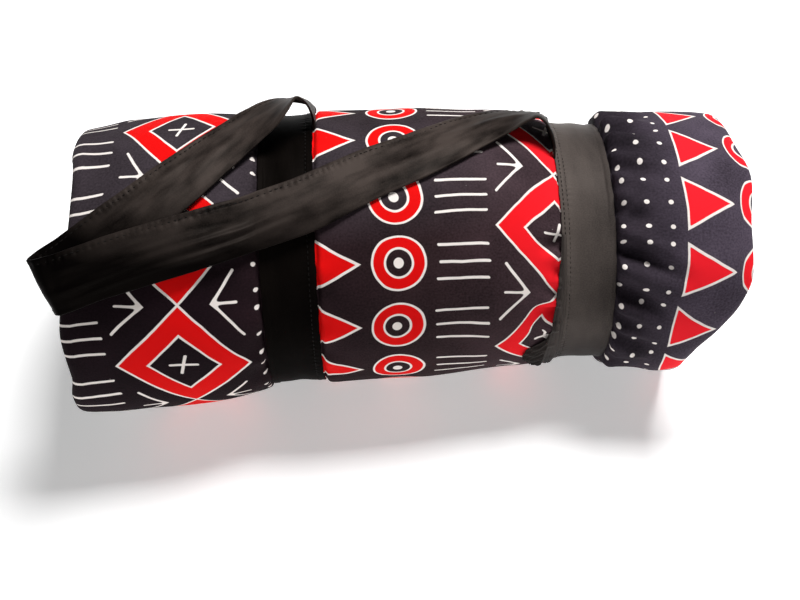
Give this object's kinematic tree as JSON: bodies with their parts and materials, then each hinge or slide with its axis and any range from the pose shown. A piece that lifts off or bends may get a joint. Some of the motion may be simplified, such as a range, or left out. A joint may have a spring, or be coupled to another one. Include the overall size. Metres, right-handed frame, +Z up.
{
  "type": "rolled picnic blanket",
  "caption": "Folded and rolled cotton picnic blanket with a geometric print, held by satin strap bands, with a limp satin carry strap draped over it.",
  "frame": {"origin": "on the floor under the middle of the roll, in the roll's flat spot", "axes": "+X along the roll to the right, +Z up, -Y towards the side where the carry strap's fold lies"},
  "size_m": [0.499, 0.2274, 0.2399],
  "materials": {
    "printed_cotton": "matt charcoal cotton printed in red and off-white",
    "band_satin": "black satin with a soft sheen",
    "strap_satin": "black satin with a soft sheen"
  },
  "bodies": {
    "root": {"blanket_roll": "printed_cotton", "band_left": "band_satin", "band_right": "band_satin", "carry_strap": "strap_satin"}
  },
  "joints": []
}
